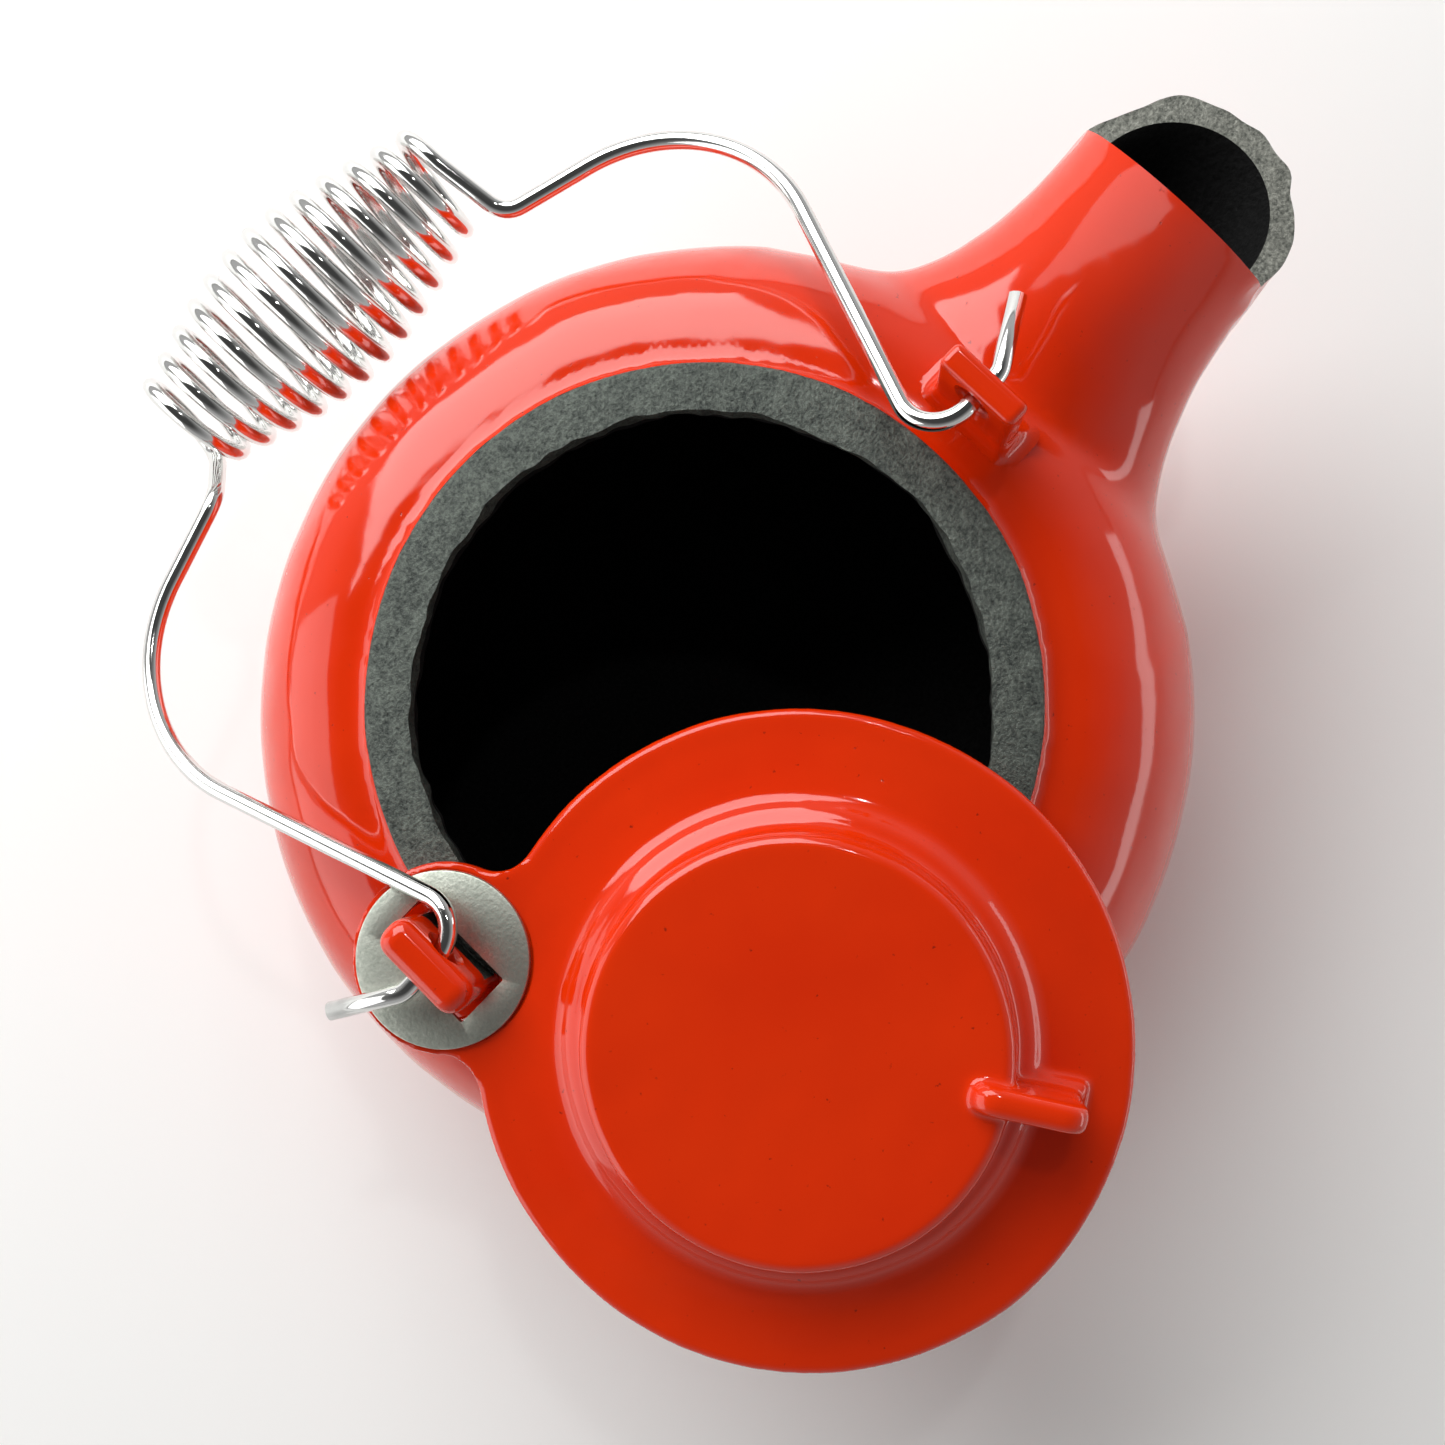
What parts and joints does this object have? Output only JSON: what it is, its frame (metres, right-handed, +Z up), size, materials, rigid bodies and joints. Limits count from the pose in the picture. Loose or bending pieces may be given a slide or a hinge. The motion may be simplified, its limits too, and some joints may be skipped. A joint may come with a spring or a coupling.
{
  "type": "stovetop kettle",
  "caption": "Enamelled cast-iron stovetop kettle with a wide open spout, a lid that swings aside on a lug, and a wire bail with a coiled grip.",
  "frame": {"origin": "centre of the flat base, on the surface that the kettle stands on", "axes": "+Z up; +X from the pot's axis along the spout; the bail hangs over the +Y side at rest and the lid is swung open towards -Y"},
  "size_m": [0.3143, 0.3179, 0.1422],
  "materials": {
    "red_enamel": "glossy orange-red vitreous enamel fired on cast iron; the rim face, spout mouth and inside are bare dark grey iron",
    "zinc_plate": "dull zinc-plated pressed steel",
    "bright_wire": "bright plated steel wire"
  },
  "bodies": {
    "kettle": {"kettle_casting": "red_enamel", "pivot_washer": "zinc_plate"},
    "lid": {"lid": "red_enamel"},
    "bail": {"rear_arm": "bright_wire", "front_arm": "bright_wire", "grip_coil": "bright_wire"}
  },
  "joints": [
    {"name": "lid_swing", "type": "hinge", "parent": "kettle", "child": "lid", "pos_m": [-0.084, 0, 0.114], "axis": [0, 0, 1], "range_deg": [-50, 57.5]},
    {"name": "bail_swing", "type": "hinge", "parent": "kettle", "child": "bail", "pos_m": [0.003, 0, 0.1285], "axis": [1, 0, 0], "range_deg": [-1, 155]}
  ]
}
